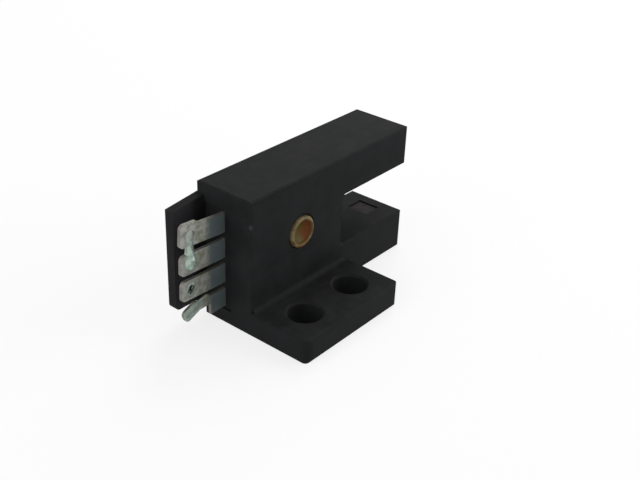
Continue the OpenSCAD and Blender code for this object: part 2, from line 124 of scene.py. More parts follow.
# Where its tones start and are full: the rim's past the edge of the dish, the dish's red side past
# the middle, with the drift that clouds give it, and the rim's red foot, as heights over the middle
RIM_TONE = (-0.02 * MM, 0.10 * MM)
RED_SIDE = (0.3 * MM, 0.8 * MM)
CLOUD_DRIFT = 0.4 * MM
RED_FOOT = (-0.8 * MM, -1.4 * MM)

# Solder between the upper terminals: its radius at the second one, at the first one and between
# them, and the share of its thickness that is left at the second and at the first
BEAD_RADIUS = 0.66 * MM
HEAD_RADIUS = 0.58 * MM
LINK_RADIUS = 0.46 * MM
BEAD_DEPTH = 0.85
HEAD_DEPTH = 0.32

# Coat of solder on the lowest terminal's worn end: where it runs, and the same at tip and neck
COAT_TIP = Vector((-13.03, 3.40, 3.07)) * MM
COAT_ROOT = Vector((-10.95, 3.40, 3.57)) * MM
COAT_RADIUS = 0.62 * MM
NECK_RADIUS = 0.53 * MM
COAT_DEPTH = 0.40
NECK_DEPTH = 0.29

# Runs of solder: the points along one, the shares of its length between which each end swells,
# the cells of its volume, its rounds of blur, and the height and the scale of its waves
SOLDER_STEPS = 48
START_SWELL = (0.42, 0.08)
END_SWELL = (0.60, 0.90)
SOLDER_VOXEL = 0.03 * MM
SOLDER_BLUR = 10
SOLDER_WAVER = 0.05 * MM
WAVE_SCALE = 14.0
# Volumes are built this many times larger, because their cells can't be so small
VOLUME_SCALE = 100.0

# Where the solder's tones start and are full: the thin skin of its head below its top, and the
# pale neck of the coat along the terminal
THIN_SKIN = (1.00 * MM, 0.65 * MM)
PALE_NECK = (-12.4 * MM, -11.9 * MM)

# Solder holes: their radius, how far they may reach from a tip, and the slack in finding them
HOLE_RADIUS = 0.5 * MM
HOLE_SEARCH = 1.9 * MM
RING_SLACK = 0.004 * MM

# Ring of old solder round the open hole: its radius, the radius of its bead, its height, the scale
# of its patches, and the steps round the ring and round the bead
RING_RADIUS = 0.49 * MM
RING_BEAD = 0.15 * MM
RING_HEIGHT = 0.07 * MM
RING_PATCHES = 2200.0
RING_STEPS = 72
BEAD_STEPS = 12

# Grains of dried flux: their radius, how far they reach from the tips, how many lie on a square
# metre, the scale of their patches, their least and greatest stretch, and their seed
GRAIN_RADIUS = 0.022 * MM
GRAIN_REACH = 1.5 * MM
GRAIN_DENSITY = 2.2e7
GRAIN_PATCHES = 1500.0
GRAIN_LEAST = (0.6, 0.6, 0.3)
GRAIN_MOST = (2.0, 1.5, 0.8)
GRAIN_SEED = 7

# How metallic the dull tin is, and its root where painted shade darkens it
DULL_METAL = 0.55
ROOT_SHADE_METAL = 0.35
# Where a terminal's tones start and are full, from the case: painted shade at the root, burnt tin
# and wetted end
ROOT_SHADE = (2.25 * MM, 1.45 * MM)
BURNT = (3.9 * MM, 2.7 * MM)
WETTED = (2.2 * MM, 3.0 * MM)
# Heights below which an end is wetted with solder, and solder is old, and over which both fade
WETTED_TOP = 4.2 * MM
WETTED_FADE = 0.2 * MM
OLD_SOLDER_TOP = 7.2 * MM
OLD_SOLDER_FADE = 0.3 * MM

# Paler spot on the upright edge between the front and the terminals
PALE_SPOT_PLACE = Vector((-8.75, 0.0, 11.05)) * MM
PALE_SPOT_RADIUS = 0.36 * MM
# Painted light on the guard's inner face, which the case and terminals shade: where it starts and
# is full, from the case
GUARD_LIGHT_REACH = (0.8 * MM, 1.8 * MM)

# Plastic, where it isn't plain
RUBBED_PLASTIC = (0.034, 0.036, 0.039, 1)
# Colour of the paler spot on the upright edge
PALE_SPOT_PLASTIC = (0.038, 0.038, 0.041, 1)
# Painted light for the shaded inner face of the guard
LIT_GUARD_PLASTIC = (0.037, 0.035, 0.039, 1)
PLASTIC_DUST = (0.14, 0.135, 0.13, 1)
# Tin of the terminals
CLEAN_TIN = (0.375, 0.375, 0.352, 1)
STAINED_TIN = (0.186, 0.198, 0.170, 1)
BURNT_TIN = (0.182, 0.200, 0.116, 1)
# Painted shade on the root, next to the case
ROOT_SHADE_TIN = (0.118, 0.146, 0.150, 1)
WETTED_TIN = (0.29, 0.37, 0.32, 1)
WETTED_STAIN = (0.165, 0.225, 0.18, 1)
PITTED_TIN = (0.08, 0.08, 0.065, 1)
RUBBED_TIN = (0.38, 0.38, 0.355, 1)
CUT_EDGE = (0.12, 0.105, 0.08, 1)
# Solder
CLEAN_SOLDER = (0.375, 0.475, 0.410, 1)
STAINED_SOLDER = (0.180, 0.245, 0.200, 1)
FLUXED_SOLDER = (0.160, 0.190, 0.145, 1)
THIN_SOLDER = (0.305, 0.315, 0.290, 1)
OLD_SOLDER = (0.125, 0.155, 0.128, 1)
NECK_SOLDER = (0.30, 0.30, 0.275, 1)
FLUXED_NECK = (0.22, 0.235, 0.16, 1)
# Painted shade on the upward faces of the coat
SHADED_COAT = (0.035, 0.036, 0.030, 1)
PITTED_SOLDER = (0.165, 0.185, 0.150, 1)
# Dried flux
DARK_FLUX = (0.16, 0.13, 0.05, 1)
PALE_FLUX = (0.30, 0.27, 0.16, 1)
# Amber resin
OLIVE_DISH = (0.084, 0.061, 0.011, 1)
RED_DISH = (0.135, 0.045, 0.011, 1)
DARK_RIM = (0.080, 0.058, 0.025, 1)
PALE_RIM = (0.19, 0.145, 0.072, 1)
RED_RIM = (0.125, 0.060, 0.015, 1)
# Leads and board
BRIGHT_LEAD = (0.66, 0.66, 0.64, 1)
DULL_LEAD = (0.48, 0.48, 0.45, 1)
SOLDER_MASK = (0.018, 0.10, 0.035, 1)
MASKED_TRACK = (0.035, 0.17, 0.06, 1)
BOARD_FIBRE = (0.35, 0.30, 0.17, 1)

# Chips: their ends, the share of their half length past which those start, the shade of their
# darker grain and their bodies
CHIP_METAL = (0.62, 0.62, 0.60, 1)
CHIP_END_SHARE = 0.62
CHIP_SHADE = 0.75
CHIP_BODY = {
    "chip_ceramic": (0.028, 0.028, 0.032, 1),
    "capacitor_ceramic": (0.36, 0.24, 0.14, 1),
}


# Node trees

class Nodes:
    """Short ways to add nodes to one tree and to wire them."""

    def __init__(self, tree):
        self.tree = tree

    def feed(self, socket, value):
        """Links a socket to the value, or sets it, whichever the value is."""
        if isinstance(value, bpy.types.NodeSocket):
            self.tree.links.new(value, socket)
        else:
            socket.default_value = value

    def add(self, kind, inputs=None, **settings):
        node = self.tree.nodes.new(kind)
        for name, value in settings.items():
            setattr(node, name, value)
        for socket, value in (inputs or {}).items():
            self.feed(node.inputs[socket], value)
        return node

    def math(self, operation, *values):
        node = self.add("ShaderNodeMath", dict(enumerate(values)), operation=operation)
        return node.outputs[0]

    def vector(self, operation, *values):
        node = self.add("ShaderNodeVectorMath", dict(enumerate(values)), operation=operation)
        return node.outputs[0]

    def stretched(self, value, factor):
        """A vector made longer by a number."""
        inputs = {0: value, "Scale": factor}
        return self.add("ShaderNodeVectorMath", inputs, operation="SCALE").outputs[0]

    def joined(self, **parts):
        """A vector from its X, Y and Z, which are 0 where they aren't given."""
        return self.add("ShaderNodeCombineXYZ", parts).outputs[0]

    def length(self, value):
        return self.add("ShaderNodeVectorMath", {0: value}, operation="LENGTH").outputs["Value"]

    def noise(self, place, scale, detail=2.0, roughness=0.5):
        inputs = {"Vector": place, "Scale": scale, "Detail": detail, "Roughness": roughness}
        return self.add("ShaderNodeTexNoise", inputs).outputs[0]

    def step(self, value, low, high, start=0.0, end=1.0):
        """Runs smoothly from start to end while the value goes from low to high."""
        inputs = {"Value": value, "From Min": low, "From Max": high, "To Min": start, "To Max": end}
        node = self.add("ShaderNodeMapRange", inputs, interpolation_type="SMOOTHSTEP")
        return node.outputs[0]

    def mix(self, mask, low, high):
        """Colour that goes from low to high with the mask."""
        return self.add("ShaderNodeMix", {0: mask, 6: low, 7: high}, data_type="RGBA").outputs[2]

    def axis(self, place, name):
        return self.add("ShaderNodeSeparateXYZ", {0: place}).outputs[name]

    def place(self):
        """The point that is shaded, in the sensor's own frame."""
        return self.add("ShaderNodeTexCoord").outputs["Object"]

    def normal(self):
        return self.add("ShaderNodeNewGeometry").outputs["Normal"]

    def group(self, tree, **inputs):
        """A shared effect, with its named values; an underscore stands for a space."""
        node = self.add("ShaderNodeGroup", node_tree=tree)
        for name, value in inputs.items():
            self.feed(node.inputs[name.replace("_", " ")], value)
        return node.outputs


SOCKETS = {
    "value": "NodeSocketFloat", "whole": "NodeSocketInt", "vector": "NodeSocketVector",
    "shape": "NodeSocketGeometry", "finish": "NodeSocketMaterial",
}


def node_group(name, kind, inputs, outputs):
    """An empty tree with named sockets; gives its nodes, what comes in and what goes out."""
    tree = bpy.data.node_groups.new(name, kind)
    for label, socket in inputs.items():
        tree.interface.new_socket(label, in_out="INPUT", socket_type=SOCKETS[socket])
    for label, socket in outputs.items():
        tree.interface.new_socket(label, in_out="OUTPUT", socket_type=SOCKETS[socket])
    nodes = Nodes(tree)
    return nodes, nodes.add("NodeGroupInput").outputs, nodes.add("NodeGroupOutput").inputs


def effect(name, inputs, outputs):
    return node_group(name, "ShaderNodeTree", inputs, outputs)


# Effects that several finishes share

def moulded_skin():
    """Spark-eroded grain of a moulded face, with the broad mottling of its tone."""
    nodes, given, made = effect(
        "Moulded skin",
        {"Place": "vector", "Grain": "value", "Mottle": "value"},
        {"Height": "value", "Tone": "value"})
    fine = nodes.noise(given["Place"], given["Grain"], 3.0, 0.6)
    broad = nodes.noise(given["Place"], given["Mottle"], 4.0, 0.55)
    drawn = nodes.vector("MULTIPLY", given["Place"], (0.35, 1.0, 1.0))
    flow = nodes.noise(drawn, given["Mottle"], 2.0)
    tone = nodes.math(
        "ADD", nodes.math("MULTIPLY", broad, 0.65), nodes.math("MULTIPLY", flow, 0.35))
    height = nodes.math("ADD", fine, nodes.math("MULTIPLY", broad, 0.4))
    nodes.feed(made["Height"], height)
    nodes.feed(made["Tone"], nodes.step(tone, 0.36, 0.64))
    return nodes.tree


def edge_wear():
    """Mask along edges that hands and fixtures have rubbed, broken up by noise."""
    nodes, given, made = effect(
        "Edge wear",
        {"Place": "vector", "Width": "value", "Breakup": "value"},
        {"Mask": "value"})
    rounded = nodes.add("ShaderNodeBevel", {"Radius": given["Width"]}, samples=6).outputs[0]
    agree = nodes.add(
        "ShaderNodeVectorMath", {0: rounded, 1: nodes.normal()}, operation="DOT_PRODUCT")
    edge = nodes.step(agree.outputs["Value"], 0.97, 0.72)
    broken = nodes.step(nodes.noise(given["Place"], given["Breakup"], 4.0, 0.65), 0.4, 0.62)
    nodes.feed(made["Mask"], nodes.math("MULTIPLY", edge, broken))
    return nodes.tree


def settled_dust():
    """Thin dust, only on faces that look up."""
    nodes, given, made = effect(
        "Settled dust", {"Place": "vector", "Film": "value"}, {"Mask": "value"})
    up = nodes.step(nodes.axis(nodes.normal(), "Z"), 0.3, 0.95)
    patchy = nodes.step(nodes.noise(given["Place"], 700.0, 5.0, 0.7), 0.35, 0.75)
    lint = nodes.step(nodes.noise(given["Place"], 5200.0, 2.0, 0.5), 0.70, 0.78)
    film = nodes.math("MULTIPLY", nodes.math("ADD", patchy, lint), given["Film"])
    nodes.feed(made["Mask"], nodes.math("MULTIPLY", up, film))
    return nodes.tree


def metal_age():
    """Stains, rolling lines and small pits of a tinned strip."""
    nodes, given, made = effect(
        "Metal age",
        {"Place": "vector", "Stain Scale": "value", "Line Scale": "value"},
        {"Stain": "value", "Lines": "value", "Pits": "value"})
    wavy = nodes.noise(given["Place"], given["Stain Scale"], 5.0, 0.62)
    along = nodes.vector("MULTIPLY", given["Place"], (0.06, 1.0, 1.0))
    lines = nodes.noise(along, given["Line Scale"], 3.0, 0.6)
    pits = nodes.noise(given["Place"], 6500.0, 2.0, 0.5)
    nodes.feed(made["Stain"], nodes.step(wavy, 0.38, 0.66))
    nodes.feed(made["Lines"], lines)
    nodes.feed(made["Pits"], nodes.step(pits, 0.64, 0.72))
    return nodes.tree


def finish_of(name, **constants):
    """A material with its one shader; constants are set on the shader's own sockets."""
    material = bpy.data.materials.new(name)
    material.use_nodes = True
    shader = material.node_tree.nodes["Principled BSDF"]
    for label, value in constants.items():
        shader.inputs[label.replace("_", " ")].default_value = value
    return material, Nodes(material.node_tree), shader.inputs


def bumped(nodes, height, strength, distance):
    inputs = {"Height": height, "Strength": strength, "Distance": distance}
    return nodes.add("ShaderNodeBump", inputs).outputs[0]


# Finishes

SKIN = moulded_skin()
WEAR = edge_wear()
DUST = settled_dust()
AGE = metal_age()


def black_plastic(name, dark, light, gloss, grain, pale_spot=None, guard_light=False):
    """Moulded black plastic: matt skin, rubbed edges and dust, and, if asked, a paler spot or
    painted light on the guard's shaded inner face.
    """
    material, nodes, shader = finish_of(name, Specular_IOR_Level=0.02)
    place = nodes.place()
    skin = nodes.group(SKIN, Place=place, Grain=grain, Mottle=420.0)
    rubbed = nodes.group(WEAR, Place=place, Width=0.12 * MM, Breakup=1500.0)["Mask"]
    dust = nodes.group(DUST, Place=place, Film=0.04)["Mask"]
    color = nodes.mix(skin["Tone"], dark, light)
    color = nodes.mix(nodes.math("MULTIPLY", rubbed, 0.5), color, RUBBED_PLASTIC)
    # A paler spot round the given place, broken up by noise
    if pale_spot:
        away = nodes.length(nodes.vector("SUBTRACT", place, pale_spot))
        mark = nodes.step(away, PALE_SPOT_RADIUS, 0.4 * PALE_SPOT_RADIUS)
        spot_breakup = nodes.step(nodes.noise(place, 4200.0, 3.0), 0.42, 0.55)
        color = nodes.mix(nodes.math("MULTIPLY", mark, spot_breakup), color, PALE_SPOT_PLASTIC)
    # Painted light: the guard's inner face, which the case and terminals shade, is made paler
    if guard_light:
        start, full = GUARD_LIGHT_REACH
        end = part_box("case")[0].x
        inner = nodes.step(nodes.axis(nodes.normal(), "Y"), -0.5, -0.8)
        behind = nodes.step(nodes.axis(place, "X"), end - start, end - full)
        color = nodes.mix(nodes.math("MULTIPLY", inner, behind), color, LIT_GUARD_PLASTIC)
    nodes.feed(shader["Base Color"], nodes.mix(dust, color, PLASTIC_DUST))
    matt = nodes.step(skin["Tone"], 0.0, 1.0, gloss - 0.05, gloss + 0.07)
    matt = nodes.math("SUBTRACT", matt, nodes.math("MULTIPLY", rubbed, 0.12))
    nodes.feed(shader["Roughness"], nodes.math("ADD", matt, nodes.math("MULTIPLY", dust, 0.4)))
    nodes.feed(shader["Normal"], bumped(nodes, skin["Height"], 0.35, 0.012 * MM))
    return material


def tinned_strip():
    """Dull tin on a punched strip: stains, pits, bare edges, painted shade on the root next to the
    case, and one wetted end.
    """
    material, nodes, shader = finish_of("Tinned strip")
    place = nodes.place()
    age = nodes.group(AGE, Place=place, Stain_Scale=1500.0, Line_Scale=9000.0)
    rubbed = nodes.group(WEAR, Place=place, Width=0.06 * MM, Breakup=2600.0)["Mask"]
    out = nodes.math("SUBTRACT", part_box("case")[0].x, nodes.axis(place, "X"))
    # Painted shade: the root next to the case is darker, cooler and less metallic
    root = nodes.step(out, *ROOT_SHADE)
    burnt = nodes.step(nodes.noise(place, 1500.0, 4.0, 0.6), 0.46, 0.62)
    burnt = nodes.math("MULTIPLY", burnt, nodes.step(out, *BURNT))
    wetted = nodes.step(nodes.axis(place, "Z"), WETTED_TOP, WETTED_TOP - WETTED_FADE)
    wetted = nodes.math("MULTIPLY", wetted, nodes.step(out, *WETTED))
    color = nodes.mix(age["Stain"], CLEAN_TIN, STAINED_TIN)
    color = nodes.mix(nodes.math("MULTIPLY", burnt, 0.8), color, BURNT_TIN)
    color = nodes.mix(root, color, ROOT_SHADE_TIN)
    color = nodes.mix(wetted, color, nodes.mix(age["Stain"], WETTED_TIN, WETTED_STAIN))
    color = nodes.mix(nodes.math("MULTIPLY", age["Pits"], 0.5), color, PITTED_TIN)
    color = nodes.mix(nodes.math("MULTIPLY", rubbed, 0.6), color, RUBBED_TIN)
    flat = nodes.math("ABSOLUTE", nodes.axis(nodes.normal(), "Y"))
    cut = nodes.math("MULTIPLY", nodes.step(flat, 0.5, 0.2), 0.75)
    nodes.feed(shader["Base Color"], nodes.mix(cut, color, CUT_EDGE))
    nodes.feed(shader["Metallic"], nodes.step(root, 0.0, 1.0, DULL_METAL, ROOT_SHADE_METAL))
    rough = nodes.math("ADD", nodes.step(age["Stain"], 0.0, 1.0, 0.40, 0.54),
                       nodes.math("MULTIPLY", age["Pits"], 0.2))
    nodes.feed(shader["Roughness"], rough)
    height = nodes.math("SUBTRACT", age["Lines"], nodes.math("MULTIPLY", age["Pits"], 0.5))
    nodes.feed(shader["Normal"], bumped(nodes, height, 0.4, 0.012 * MM))
    return material


def soft_solder():
    """Solder that has set: frosted, with darker skins of flux, aged lower down, and painted shade
    on the upward faces of the worn end's coat.
    """
    material, nodes, shader = finish_of("Soft solder", Metallic=DULL_METAL)
    place = nodes.place()
    age = nodes.group(AGE, Place=place, Stain_Scale=2300.0, Line_Scale=3000.0)
    flux = nodes.step(nodes.noise(place, 1300.0, 4.0, 0.6), 0.50, 0.62)
    color = nodes.mix(age["Stain"], CLEAN_SOLDER, STAINED_SOLDER)
    color = nodes.mix(nodes.math("MULTIPLY", flux, 0.6), color, FLUXED_SOLDER)
    height = nodes.axis(place, "Z")
    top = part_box("solder_bridge")[1].z
    thin = nodes.step(height, top - THIN_SKIN[0], top - THIN_SKIN[1], 0.0, 0.9)
    color = nodes.mix(thin, color, THIN_SOLDER)
    old = nodes.step(height, OLD_SOLDER_TOP, OLD_SOLDER_TOP - OLD_SOLDER_FADE, 0.0, 0.55)
    color = nodes.mix(old, color, OLD_SOLDER)
    worn = nodes.step(height, WETTED_TOP, WETTED_TOP - WETTED_FADE)
    neck = nodes.step(nodes.axis(place, "X"), *PALE_NECK, 0.0, 0.65)
    neck = nodes.math("MULTIPLY", neck, worn)
    color = nodes.mix(neck, color, nodes.mix(flux, NECK_SOLDER, FLUXED_NECK))
    # Painted shade on the upward faces of the coat on the worn end
    coat_top_shade = nodes.math("MULTIPLY", nodes.step(nodes.axis(nodes.normal(), "Z"), 0.25, 0.6), worn)
    color = nodes.mix(coat_top_shade, color, SHADED_COAT)
    nodes.feed(shader["Base Color"], nodes.mix(age["Pits"], color, PITTED_SOLDER))
    nodes.feed(shader["Roughness"], nodes.step(age["Stain"], 0.0, 1.0, 0.34, 0.50))
    lumps = nodes.noise(place, 2600.0, 3.0, 0.5)
    nodes.feed(shader["Normal"], bumped(nodes, lumps, 0.6, 0.03 * MM))
    return material


def dried_flux():
    """Amber-brown rosin that has dried in grains."""
    material, nodes, shader = finish_of("Dried flux", Transmission_Weight=0.2, IOR=1.5)
    cloud = nodes.step(nodes.noise(nodes.place(), 9000.0, 3.0, 0.6), 0.35, 0.65)
    nodes.feed(shader["Base Color"], nodes.mix(cloud, DARK_FLUX, PALE_FLUX))
    nodes.feed(shader["Roughness"], nodes.step(cloud, 0.0, 1.0, 0.25, 0.5))
    return material


def amber_resin():
    """Amber resin: olive and red-brown in the dish, paler where the rim gathers the light."""
    material, nodes, shader = finish_of(
        "Amber resin", Transmission_Weight=0.15, IOR=1.54, Specular_IOR_Level=0.03)
    low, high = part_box("indicator_window")
    place = nodes.place()
    centring = {"Vector": place, "Location": -(low + high) / 2}
    middle = nodes.add("ShaderNodeMapping", centring).outputs[0]
    radius = nodes.length(nodes.vector("MULTIPLY", middle, (1.0, 0.0, 1.0)))
    mouth = (high.x - low.x) / 2 - SHOULDER_WIDTH - RIM_WIDTH
    rim = nodes.step(radius, mouth + RIM_TONE[0], mouth + RIM_TONE[1])
    cloud = nodes.step(nodes.noise(place, 1300.0, 3.0, 0.55), 0.35, 0.65)
    across = nodes.math("MULTIPLY_ADD", cloud, CLOUD_DRIFT, nodes.axis(middle, "X"))
    dish = nodes.mix(nodes.step(across, *RED_SIDE), OLIVE_DISH, RED_DISH)
    edge = nodes.mix(cloud, DARK_RIM, PALE_RIM)
    foot = nodes.step(nodes.axis(middle, "Z"), *RED_FOOT, 0.0, 0.9)
    edge = nodes.mix(foot, edge, RED_RIM)
    nodes.feed(shader["Base Color"], nodes.mix(rim, dish, edge))
    nodes.feed(shader["Roughness"], nodes.step(rim, 0.0, 1.0, 0.50, 0.42))
    nodes.feed(shader["Normal"], bumped(nodes, cloud, 0.1, 0.01 * MM))
    return material


def clear_moulding(name, dark, light, gloss, **constants):
    """Cast resin with a slight haze."""
    material, nodes, shader = finish_of(name, **constants)
    place = nodes.place()
    haze = nodes.step(nodes.noise(place, 1800.0, 3.0, 0.55), 0.35, 0.65)
    nodes.feed(shader["Base Color"], nodes.mix(haze, dark, light))
    nodes.feed(shader["Roughness"], nodes.step(haze, 0.0, 1.0, gloss, gloss + 0.1))
    nodes.feed(shader["Normal"], bumped(nodes, nodes.noise(place, 5000.0), 0.1, 0.005 * MM))
    return material


def lead_frame():
    """Bright tinned leads with fine rolling lines."""
    material, nodes, shader = finish_of("Lead frame", Metallic=1.0)
    age = nodes.group(AGE, Place=nodes.place(), Stain_Scale=1500.0, Line_Scale=12000.0)
    nodes.feed(shader["Base Color"], nodes.mix(age["Stain"], BRIGHT_LEAD, DULL_LEAD))
    nodes.feed(shader["Roughness"], nodes.step(age["Stain"], 0.0, 1.0, 0.28, 0.42))
    nodes.feed(shader["Normal"], bumped(nodes, age["Lines"], 0.2, 0.006 * MM))
    return material


def circuit_board():
    """Green solder mask over tracks that run along the board, with a fibre edge."""
    material, nodes, shader = finish_of("Circuit board")
    place = nodes.place()
    track = nodes.add("ShaderNodeTexWave", {
        "Vector": place, "Scale": 190.0, "Distortion": 3.0, "Detail": 1.0, "Detail Scale": 0.7},
        bands_direction="Z").outputs["Fac"]
    copper = nodes.step(track, 0.60, 0.66)
    skin = nodes.group(SKIN, Place=place, Grain=9000.0, Mottle=900.0)
    color = nodes.mix(copper, SOLDER_MASK, MASKED_TRACK)
    facing = nodes.math("ABSOLUTE", nodes.axis(nodes.normal(), "Y"))
    edge = nodes.step(facing, 0.9, 0.6)
    nodes.feed(shader["Base Color"], nodes.mix(edge, color, BOARD_FIBRE))
    nodes.feed(shader["Roughness"], nodes.step(skin["Tone"], 0.0, 1.0, 0.28, 0.42))
    height = nodes.math("ADD", copper, nodes.math("MULTIPLY", skin["Height"], 0.15))
    nodes.feed(shader["Normal"], bumped(nodes, height, 0.5, 0.03 * MM))
    return material


def chip_finish(name, node, body):
    """Ceramic chip whose metal ends lie past a share of its half length."""
    material, nodes, shader = finish_of(name)
    low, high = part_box(node)
    centre = (low.x + high.x) / 2
    half = (high.x - low.x) / 2
    place = nodes.place()
    away = nodes.math("ABSOLUTE", nodes.math("SUBTRACT", nodes.axis(place, "X"), centre))
    metal = nodes.step(away, (CHIP_END_SHARE - 0.01) * half, CHIP_END_SHARE * half)
    grain = nodes.noise(place, 7000.0, 3.0, 0.6)
    dark = tuple(CHIP_SHADE * c for c in body[:3]) + (1,)
    ceramic = nodes.mix(nodes.step(grain, 0.35, 0.65), dark, body)
    nodes.feed(shader["Base Color"], nodes.mix(metal, ceramic, CHIP_METAL))
    nodes.feed(shader["Metallic"], metal)
    nodes.feed(shader["Roughness"], nodes.step(grain, 0.3, 0.7, 0.3, 0.45))
    nodes.feed(shader["Normal"], bumped(nodes, grain, 0.2, 0.01 * MM))
    return material


FINISHES = {
    "case_plastic": black_plastic(
        "Housing plastic", (0.0118, 0.0122, 0.0128, 1), (0.0165, 0.0172, 0.0178, 1), 0.55, 9500.0,
        PALE_SPOT_PLACE),
    "cover_plastic": black_plastic(
        "Cover plastic", (0.0125, 0.0128, 0.0136, 1), (0.0175, 0.0180, 0.0188, 1), 0.58, 8200.0,
        guard_light=True),
    "base_plastic": black_plastic(
        "Base plastic", (0.0125, 0.0125, 0.0132, 1), (0.0165, 0.0165, 0.0174, 1), 0.60, 7000.0),
    "tinned_terminal": tinned_strip(),
    "solder": soft_solder(),
    "amber_resin": amber_resin(),
    "led_resin": clear_moulding(
        "Lamp resin", (0.55, 0.48, 0.33, 1), (0.75, 0.68, 0.50, 1), 0.2, Transmission_Weight=0.3),
    "board": circuit_board(),
    "clear_resin": clear_moulding(
        "Clear resin", (0.18, 0.25, 0.34, 1), (0.27, 0.36, 0.45, 1), 0.08, Transmission_Weight=0.6),
    "dark_resin": clear_moulding(
        "Moulding compound", (0.016, 0.016, 0.018, 1), (0.030, 0.030, 0.033, 1), 0.45),
    "lead_frame": lead_frame(),
    "filter_plastic": clear_moulding(
        "Infrared filter", (0.0065, 0.0045, 0.0055, 1), (0.0110, 0.0070, 0.0090, 1), 0.45,
        Specular_IOR_Level=0.05),
}
FLUX = dried_flux()
SLOT_OF = {part["node"]: part["material_slot"] for part in frame["record"]["subparts"]}


def dress_nodes():
    """Gives each CAD node the finish of its slot, through its object's own slots."""
    for name, node in frame["nodes"].items():
        slot = SLOT_OF[name]
        if slot in CHIP_BODY:
            finish = chip_finish("Chip " + name, name, CHIP_BODY[slot])
        else:
            finish = FINISHES[slot]
        if not node.material_slots:
            node.data.materials.append(None)
        for place in node.material_slots:
            place.link = "OBJECT"
            place.material = finish


# Shapes

def new_piece(name, mesh, finish):
    """A piece of the sensor at the origin, with its place in its mesh."""
    mesh.materials.clear()
    mesh.materials.append(finish)
    piece = bpy.data.objects.new(name, mesh)
    bpy.context.scene.collection.objects.link(piece)
    return piece


def plain_mesh(piece):
    """Turns a piece's evaluated form into its own mesh and removes its modifiers."""
    bpy.context.view_layer.update()
    graph = bpy.context.evaluated_depsgraph_get()
    mesh = bpy.data.meshes.new_from_object(piece.evaluated_get(graph))
    piece.modifiers.clear()
    piece.data = mesh
    return piece


def carried(piece, slot, *nodes):
    """Rides on the sensor's one body and hides the nodes that it stands for; its slot is not used.
    """
    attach(piece, BODY)
    if nodes:
        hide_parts(*nodes)
    return piece


def merged_mesh(node):
    """Copy of a node's mesh, with its loose triangles merged into flat faces."""
    form = bmesh.new()
    form.from_mesh(frame["nodes"][node].data)
    bmesh.ops.remove_doubles(form, verts=form.verts, dist=MERGE_DISTANCE)
    bmesh.ops.dissolve_limit(form, angle_limit=FLAT_ANGLE, verts=form.verts, edges=form.edges)
    return form


def soften(form, width):
    """Rounds the sharp edges of a merged form."""
    sharp = [e for e in form.edges
             if len(e.link_faces) == 2 and e.calc_face_angle(0.0) > SHARP_ANGLE
             and e.calc_length() > SHORTEST_EDGE * width]
    bmesh.ops.bevel(
        form, geom=sharp, offset=width, offset_type="OFFSET", segments=EDGE_STEPS, profile=0.5,
        affect="EDGES", clamp_overlap=True, miter_outer="ARC")


def is_rounded(face):
    """True for a face of a rounding: a narrow one that runs level into no neighbour."""
    joints = [edge.calc_face_angle(1.0) for edge in face.edges if len(edge.link_faces) == 2]
    broad = min(edge.calc_length() for edge in face.edges) > BROAD_SIDE
    return not broad and min(joints, default=1.0) > LEVEL_ANGLE


def flatten(face):
    """Brings the corners of a many-sided face to one level, before it is cut into triangles."""
    heights = sorted(corner.co.dot(face.normal) for corner in face.verts)
    level = heights[len(heights) // 2]
    for corner in face.verts:
        corner.co += face.normal * (level - corner.co.dot(face.normal))


def softened_piece(node, width, sliver):
    """Stands for a rigid node with a merged copy that has softened edges."""
    form = merged_mesh(node)
    soften(form, width)
    bmesh.ops.dissolve_degenerate(form, dist=sliver, edges=form.edges)
    wide = [face for face in form.faces if len(face.verts) > 4]
    for face in form.faces:
        face.smooth = is_rounded(face)
    for face in wide:
        flatten(face)
    for face in bmesh.ops.triangulate(form, faces=wide)["faces"]:
        face.smooth = False
    # set_sharp_from_angle changes which faces are smooth, so that is written again after it
    smooth = [face.smooth for face in form.faces]
    mesh = bpy.data.meshes.new(node + "_form")
    form.to_mesh(mesh)
    form.free()
    if "custom_normal" in mesh.attributes:
        mesh.attributes.remove(mesh.attributes["custom_normal"])
    mesh.set_sharp_from_angle(angle=CRISP_ANGLE)
    mesh.polygons.foreach_set("use_smooth", smooth)
    piece = new_piece(node + "_piece", mesh, FINISHES[SLOT_OF[node]])
    return carried(piece, SLOT_OF[node], node)


def arc(centre, radius, start, end, steps):
    """Points on an arc in the plane of a profile, from one angle to another."""
    for k in range(steps + 1):
        angle = start + (end - start) * k / steps
        yield centre[0] + radius * math.cos(angle), centre[1] + radius * math.sin(angle)


